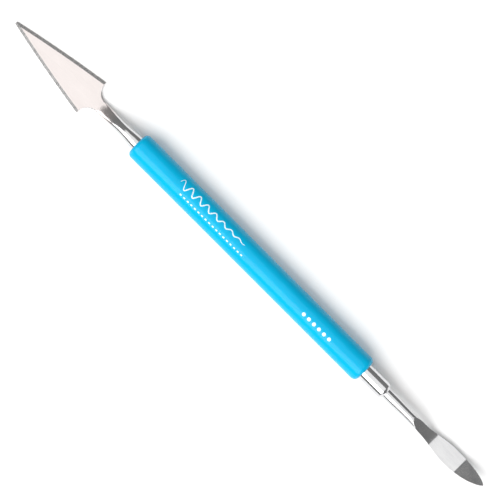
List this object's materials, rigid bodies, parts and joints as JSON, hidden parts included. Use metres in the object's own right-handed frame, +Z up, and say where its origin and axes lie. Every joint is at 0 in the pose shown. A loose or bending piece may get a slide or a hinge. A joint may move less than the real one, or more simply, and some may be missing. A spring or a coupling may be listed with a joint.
{
  "type": "clay modeling tool",
  "caption": "Double-ended clay modeling tool: a flat spear blade and a curved leaf spatula in polished steel, fixed in a slim round blue handle.",
  "frame": {"origin": "on the handle's axis, midway between its two end faces", "axes": "+X along the handle towards the leaf spatula, -X towards the spear blade, +Z up when the tool lies on its handle and on the flat underside of the spear blade"},
  "size_m": [0.2049, 0.0132, 0.009],
  "materials": {
    "handle": null,
    "spear_steel": "finely polished stainless steel with ground bevels on the two long edges",
    "spatula_steel": "mirror-polished stainless steel with light buffing marks",
    "ferrule_steel": "mirror-polished turned steel sleeve",
    "epoxy": "cured amber epoxy, hidden inside the handle"
  },
  "bodies": {
    "root": {"handle": "handle", "spear_blade": "spear_steel", "spatula_blade": "spatula_steel", "rear_ferrule": "ferrule_steel", "front_epoxy": "epoxy", "rear_epoxy": "epoxy"}
  },
  "joints": []
}
